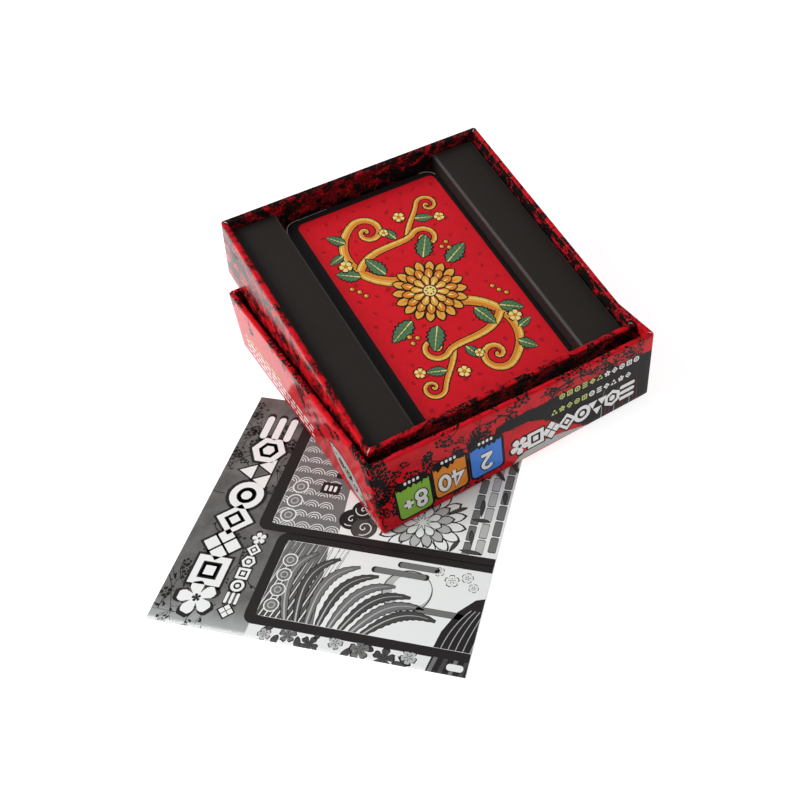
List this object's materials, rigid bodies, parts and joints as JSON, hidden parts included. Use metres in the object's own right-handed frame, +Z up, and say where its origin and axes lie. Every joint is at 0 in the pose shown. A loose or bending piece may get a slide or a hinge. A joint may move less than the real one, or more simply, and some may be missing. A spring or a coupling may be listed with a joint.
{
  "type": "hanafuda card deck",
  "caption": "Boxed hanafuda card deck: tray leaning in its upturned lid, cards in a black folded insert, and a folded rule booklet under the lid's corner.",
  "frame": {"origin": "middle of the whole layout's plan box, on the table", "axes": "+X along the lid's front wall, +Y from the lid's front wall to its back wall, +Z up"},
  "size_m": [0.1688, 0.1598, 0.0536],
  "materials": {
    "grey_board": "raw grey board",
    "lid_paper": "glossy laminated print",
    "tray_paper": "glossy laminated print",
    "black_card": "matte",
    "card_stock": "satin varnished print",
    "cover_paper": "satin print",
    "sheet_paper": "uncoated"
  },
  "bodies": {
    "lid": {"lid_board": "grey_board", "lid_wrap_panel": "lid_paper", "lid_wrap_sides": "lid_paper"},
    "tray": {"tray_board": "grey_board", "tray_wrap": "tray_paper"},
    "insert": {"insert": "black_card"},
    "card_01": {"card_01": "card_stock"},
    "card_02": {"card_02": "card_stock"},
    "card_03": {"card_03": "card_stock"},
    "card_04": {"card_04": "card_stock"},
    "card_05": {"card_05": "card_stock"},
    "card_06": {"card_06": "card_stock"},
    "card_07": {"card_07": "card_stock"},
    "card_08": {"card_08": "card_stock"},
    "card_09": {"card_09": "card_stock"},
    "card_10": {"card_10": "card_stock"},
    "card_11": {"card_11": "card_stock"},
    "card_12": {"card_12": "card_stock"},
    "card_13": {"card_13": "card_stock"},
    "card_14": {"card_14": "card_stock"},
    "card_15": {"card_15": "card_stock"},
    "card_16": {"card_16": "card_stock"},
    "card_17": {"card_17": "card_stock"},
    "card_18": {"card_18": "card_stock"},
    "card_19": {"card_19": "card_stock"},
    "card_20": {"card_20": "card_stock"},
    "card_21": {"card_21": "card_stock"},
    "card_22": {"card_22": "card_stock"},
    "card_23": {"card_23": "card_stock"},
    "card_24": {"card_24": "card_stock"},
    "card_25": {"card_25": "card_stock"},
    "card_26": {"card_26": "card_stock"},
    "card_27": {"card_27": "card_stock"},
    "card_28": {"card_28": "card_stock"},
    "card_29": {"card_29": "card_stock"},
    "card_30": {"card_30": "card_stock"},
    "card_31": {"card_31": "card_stock"},
    "card_32": {"card_32": "card_stock"},
    "card_33": {"card_33": "card_stock"},
    "card_34": {"card_34": "card_stock"},
    "card_35": {"card_35": "card_stock"},
    "card_36": {"card_36": "card_stock"},
    "card_37": {"card_37": "card_stock"},
    "card_38": {"card_38": "card_stock"},
    "card_39": {"card_39": "card_stock"},
    "card_40": {"card_40": "card_stock"},
    "card_41": {"card_41": "card_stock"},
    "card_42": {"card_42": "card_stock"},
    "card_43": {"card_43": "card_stock"},
    "card_44": {"card_44": "card_stock"},
    "card_45": {"card_45": "card_stock"},
    "card_46": {"card_46": "card_stock"},
    "card_47": {"card_47": "card_stock"},
    "card_48": {"card_48": "card_stock"},
    "booklet": {"booklet_cover": "cover_paper", "booklet_sheet_1": "sheet_paper", "booklet_sheet_2": "sheet_paper"}
  },
  "joints": [
    {"name": "tray_lift", "type": "slide", "parent": "lid", "child": "tray", "axis": [0, 0, 1], "range_m": [0, 0.045]},
    {"name": "insert_lift", "type": "slide", "parent": "tray", "child": "insert", "axis": [0, -0.276, 0.9612], "range_m": [0, 0.03]},
    {"name": "card_01_lift", "type": "slide", "parent": "insert", "child": "card_01", "axis": [0, -0.276, 0.9612], "range_m": [0, 0.01]},
    {"name": "card_02_lift", "type": "slide", "parent": "card_01", "child": "card_02", "axis": [0, -0.276, 0.9612], "range_m": [0, 0.01]},
    {"name": "card_03_lift", "type": "slide", "parent": "card_02", "child": "card_03", "axis": [0, -0.276, 0.9612], "range_m": [0, 0.01]},
    {"name": "card_04_lift", "type": "slide", "parent": "card_03", "child": "card_04", "axis": [0, -0.276, 0.9612], "range_m": [0, 0.01]},
    {"name": "card_05_lift", "type": "slide", "parent": "card_04", "child": "card_05", "axis": [0, -0.276, 0.9612], "range_m": [0, 0.01]},
    {"name": "card_06_lift", "type": "slide", "parent": "card_05", "child": "card_06", "axis": [0, -0.276, 0.9612], "range_m": [0, 0.01]},
    {"name": "card_07_lift", "type": "slide", "parent": "card_06", "child": "card_07", "axis": [0, -0.276, 0.9612], "range_m": [0, 0.01]},
    {"name": "card_08_lift", "type": "slide", "parent": "card_07", "child": "card_08", "axis": [0, -0.276, 0.9612], "range_m": [0, 0.01]},
    {"name": "card_09_lift", "type": "slide", "parent": "card_08", "child": "card_09", "axis": [0, -0.276, 0.9612], "range_m": [0, 0.01]},
    {"name": "card_10_lift", "type": "slide", "parent": "card_09", "child": "card_10", "axis": [0, -0.276, 0.9612], "range_m": [0, 0.01]},
    {"name": "card_11_lift", "type": "slide", "parent": "card_10", "child": "card_11", "axis": [0, -0.276, 0.9612], "range_m": [0, 0.01]},
    {"name": "card_12_lift", "type": "slide", "parent": "card_11", "child": "card_12", "axis": [0, -0.276, 0.9612], "range_m": [0, 0.01]},
    {"name": "card_13_lift", "type": "slide", "parent": "card_12", "child": "card_13", "axis": [0, -0.276, 0.9612], "range_m": [0, 0.01]},
    {"name": "card_14_lift", "type": "slide", "parent": "card_13", "child": "card_14", "axis": [0, -0.276, 0.9612], "range_m": [0, 0.01]},
    {"name": "card_15_lift", "type": "slide", "parent": "card_14", "child": "card_15", "axis": [0, -0.276, 0.9612], "range_m": [0, 0.01]},
    {"name": "card_16_lift", "type": "slide", "parent": "card_15", "child": "card_16", "axis": [0, -0.276, 0.9612], "range_m": [0, 0.01]},
    {"name": "card_17_lift", "type": "slide", "parent": "card_16", "child": "card_17", "axis": [0, -0.276, 0.9612], "range_m": [0, 0.01]},
    {"name": "card_18_lift", "type": "slide", "parent": "card_17", "child": "card_18", "axis": [0, -0.276, 0.9612], "range_m": [0, 0.01]},
    {"name": "card_19_lift", "type": "slide", "parent": "card_18", "child": "card_19", "axis": [0, -0.276, 0.9612], "range_m": [0, 0.01]},
    {"name": "card_20_lift", "type": "slide", "parent": "card_19", "child": "card_20", "axis": [0, -0.276, 0.9612], "range_m": [0, 0.01]},
    {"name": "card_21_lift", "type": "slide", "parent": "card_20", "child": "card_21", "axis": [0, -0.276, 0.9612], "range_m": [0, 0.01]},
    {"name": "card_22_lift", "type": "slide", "parent": "card_21", "child": "card_22", "axis": [0, -0.276, 0.9612], "range_m": [0, 0.01]},
    {"name": "card_23_lift", "type": "slide", "parent": "card_22", "child": "card_23", "axis": [0, -0.276, 0.9612], "range_m": [0, 0.01]},
    {"name": "card_24_lift", "type": "slide", "parent": "card_23", "child": "card_24", "axis": [0, -0.276, 0.9612], "range_m": [0, 0.01]},
    {"name": "card_25_lift", "type": "slide", "parent": "card_24", "child": "card_25", "axis": [0, -0.276, 0.9612], "range_m": [0, 0.01]},
    {"name": "card_26_lift", "type": "slide", "parent": "card_25", "child": "card_26", "axis": [0, -0.276, 0.9612], "range_m": [0, 0.01]},
    {"name": "card_27_lift", "type": "slide", "parent": "card_26", "child": "card_27", "axis": [0, -0.276, 0.9612], "range_m": [0, 0.01]},
    {"name": "card_28_lift", "type": "slide", "parent": "card_27", "child": "card_28", "axis": [0, -0.276, 0.9612], "range_m": [0, 0.01]},
    {"name": "card_29_lift", "type": "slide", "parent": "card_28", "child": "card_29", "axis": [0, -0.276, 0.9612], "range_m": [0, 0.01]},
    {"name": "card_30_lift", "type": "slide", "parent": "card_29", "child": "card_30", "axis": [0, -0.276, 0.9612], "range_m": [0, 0.01]},
    {"name": "card_31_lift", "type": "slide", "parent": "card_30", "child": "card_31", "axis": [0, -0.276, 0.9612], "range_m": [0, 0.01]},
    {"name": "card_32_lift", "type": "slide", "parent": "card_31", "child": "card_32", "axis": [0, -0.276, 0.9612], "range_m": [0, 0.01]},
    {"name": "card_33_lift", "type": "slide", "parent": "card_32", "child": "card_33", "axis": [0, -0.276, 0.9612], "range_m": [0, 0.01]},
    {"name": "card_34_lift", "type": "slide", "parent": "card_33", "child": "card_34", "axis": [0, -0.276, 0.9612], "range_m": [0, 0.01]},
    {"name": "card_35_lift", "type": "slide", "parent": "card_34", "child": "card_35", "axis": [0, -0.276, 0.9612], "range_m": [0, 0.01]},
    {"name": "card_36_lift", "type": "slide", "parent": "card_35", "child": "card_36", "axis": [0, -0.276, 0.9612], "range_m": [0, 0.01]},
    {"name": "card_37_lift", "type": "slide", "parent": "card_36", "child": "card_37", "axis": [0, -0.276, 0.9612], "range_m": [0, 0.01]},
    {"name": "card_38_lift", "type": "slide", "parent": "card_37", "child": "card_38", "axis": [0, -0.276, 0.9612], "range_m": [0, 0.01]},
    {"name": "card_39_lift", "type": "slide", "parent": "card_38", "child": "card_39", "axis": [0, -0.276, 0.9612], "range_m": [0, 0.01]},
    {"name": "card_40_lift", "type": "slide", "parent": "card_39", "child": "card_40", "axis": [0, -0.276, 0.9612], "range_m": [0, 0.01]},
    {"name": "card_41_lift", "type": "slide", "parent": "card_40", "child": "card_41", "axis": [0, -0.276, 0.9612], "range_m": [0, 0.01]},
    {"name": "card_42_lift", "type": "slide", "parent": "card_41", "child": "card_42", "axis": [0, -0.276, 0.9612], "range_m": [0, 0.01]},
    {"name": "card_43_lift", "type": "slide", "parent": "card_42", "child": "card_43", "axis": [0, -0.276, 0.9612], "range_m": [0, 0.01]},
    {"name": "card_44_lift", "type": "slide", "parent": "card_43", "child": "card_44", "axis": [0, -0.276, 0.9612], "range_m": [0, 0.01]},
    {"name": "card_45_lift", "type": "slide", "parent": "card_44", "child": "card_45", "axis": [0, -0.276, 0.9612], "range_m": [0, 0.01]},
    {"name": "card_46_lift", "type": "slide", "parent": "card_45", "child": "card_46", "axis": [0, -0.276, 0.9612], "range_m": [0, 0.01]},
    {"name": "card_47_lift", "type": "slide", "parent": "card_46", "child": "card_47", "axis": [0, -0.276, 0.9612], "range_m": [0, 0.01]},
    {"name": "card_48_lift", "type": "slide", "parent": "card_47", "child": "card_48", "axis": [0, -0.276, 0.9612], "range_m": [0, 0.01]},
    {"name": "booklet_slide", "type": "slide", "parent": "lid", "child": "booklet", "axis": [-0.712, -0.7022, 0], "range_m": [0, 0.06]}
  ]
}
